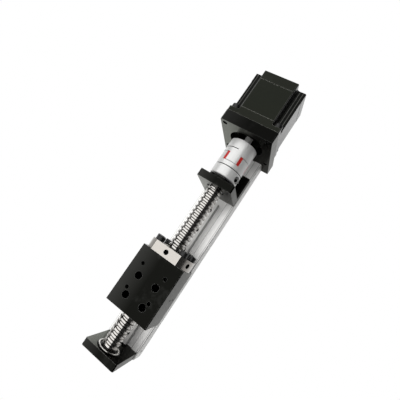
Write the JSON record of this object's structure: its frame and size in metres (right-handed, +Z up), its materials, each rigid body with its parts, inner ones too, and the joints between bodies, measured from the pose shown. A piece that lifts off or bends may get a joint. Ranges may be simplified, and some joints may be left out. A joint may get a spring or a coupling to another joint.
{
  "type": "ball screw linear module",
  "caption": "Open linear module: a black carriage on a miniature rail, driven by a ball screw through a jaw coupling and a square stepper motor on an aluminium base bar.",
  "frame": {"origin": "on the underside of the base bar, at the middle of its length and width", "axes": "+X along the screw towards the motor, +Y to the left when looking towards the motor, +Z up"},
  "size_m": [0.3115, 0.0592, 0.077],
  "materials": {
    "base_aluminium": "clear anodised, satin",
    "black_anodised": "black anodised, satin",
    "rail_steel": "ground",
    "runner_steel": "ground",
    "cap_plastic": "moulded, matt",
    "seal_steel": "pressed sheet",
    "black_screw": "black oxide",
    "bright_screw": "zinc plated",
    "race_steel": "ground",
    "ball_steel": "polished",
    "nut_steel": "ground",
    "wiper_plastic": "moulded, matt",
    "screw_steel": "rolled and polished",
    "coupling_aluminium": "clear anodised, bright",
    "spider_red": "moulded polyurethane, satin",
    "motor_black": "black, satin",
    "stator_black": "black, satin",
    "copper_wire": "enamelled wire",
    "rotor_steel": "ground",
    "shaft_steel": "ground",
    "socket_plastic": "moulded, matt",
    "ring_steel": "phosphated spring steel"
  },
  "bodies": {
    "base": {"base_bar": "base_aluminium", "guide_rail": "rail_steel", "rail_screws": "black_screw", "end_plate": "black_anodised", "end_plate_screws": "black_screw", "bearing_support": "black_anodised", "support_screws": "black_screw", "snap_ring": "ring_steel", "far_bearing_outer": "race_steel", "near_bearing_outer": "race_steel", "motor_bracket": "black_anodised", "bracket_screws": "black_screw", "motor_front_cap": "motor_black", "motor_stator": "stator_black", "motor_windings": "copper_wire", "motor_rear_cap": "motor_black", "motor_through_screws": "bright_screw", "motor_mount_screws": "bright_screw", "motor_socket": "socket_plastic", "motor_front_bearing_outer": "race_steel", "motor_rear_bearing_outer": "race_steel"},
    "carriage": {"carriage_block": "black_anodised", "runner_body": "runner_steel", "runner_end_caps": "cap_plastic", "runner_seals": "seal_steel", "runner_screws": "black_screw", "ball_nut": "nut_steel", "nut_wipers": "wiper_plastic", "nut_screws": "black_screw"},
    "screw": {"ball_screw": "screw_steel", "lock_nut": "ring_steel", "far_bearing_inner": "race_steel", "near_bearing_inner": "race_steel", "coupling_screw_hub": "coupling_aluminium", "coupling_motor_hub": "coupling_aluminium", "coupling_spider": "spider_red", "coupling_clamp_screws": "bright_screw", "motor_shaft": "shaft_steel", "motor_rotor": "rotor_steel", "motor_front_bearing_inner": "race_steel", "motor_rear_bearing_inner": "race_steel"},
    "far_cage": {"far_bearing_balls": "ball_steel"},
    "near_cage": {"near_bearing_balls": "ball_steel"},
    "motor_front_cage": {"motor_front_bearing_balls": "ball_steel"},
    "motor_rear_cage": {"motor_rear_bearing_balls": "ball_steel"}
  },
  "joints": [
    {"name": "screw_spin", "type": "hinge", "parent": "base", "child": "screw", "pos_m": [0, 0, 0.0485], "axis": [1, 0, 0], "range_deg": [-2520, 4680]},
    {"name": "carriage_slide", "type": "slide", "parent": "base", "child": "carriage", "axis": [1, 0, 0], "range_m": [-0.035, 0.065]},
    {"name": "far_cage_spin", "type": "hinge", "parent": "base", "child": "far_cage", "pos_m": [-0.11695, 0, 0.0485], "axis": [1, 0, 0], "range_deg": [-1090, 2010]},
    {"name": "near_cage_spin", "type": "hinge", "parent": "base", "child": "near_cage", "pos_m": [0.06875, 0, 0.0485], "axis": [1, 0, 0], "range_deg": [-1090, 2010]},
    {"name": "motor_front_cage_spin", "type": "hinge", "parent": "base", "child": "motor_front_cage", "pos_m": [0.13955, 0, 0.0485], "axis": [1, 0, 0], "range_deg": [-1020, 1870]},
    {"name": "motor_rear_cage_spin", "type": "hinge", "parent": "base", "child": "motor_rear_cage", "pos_m": [0.18375, 0, 0.0485], "axis": [1, 0, 0], "range_deg": [-1020, 1870]}
  ],
  "couplings": [
    {"joint": "carriage_slide", "follows": "screw_spin", "m_per_rad": 0.00079577},
    {"joint": "far_cage_spin", "follows": "screw_spin", "ratio": 0.42667},
    {"joint": "near_cage_spin", "follows": "screw_spin", "ratio": 0.42667},
    {"joint": "motor_front_cage_spin", "follows": "screw_spin", "ratio": 0.39733},
    {"joint": "motor_rear_cage_spin", "follows": "screw_spin", "ratio": 0.39733}
  ]
}
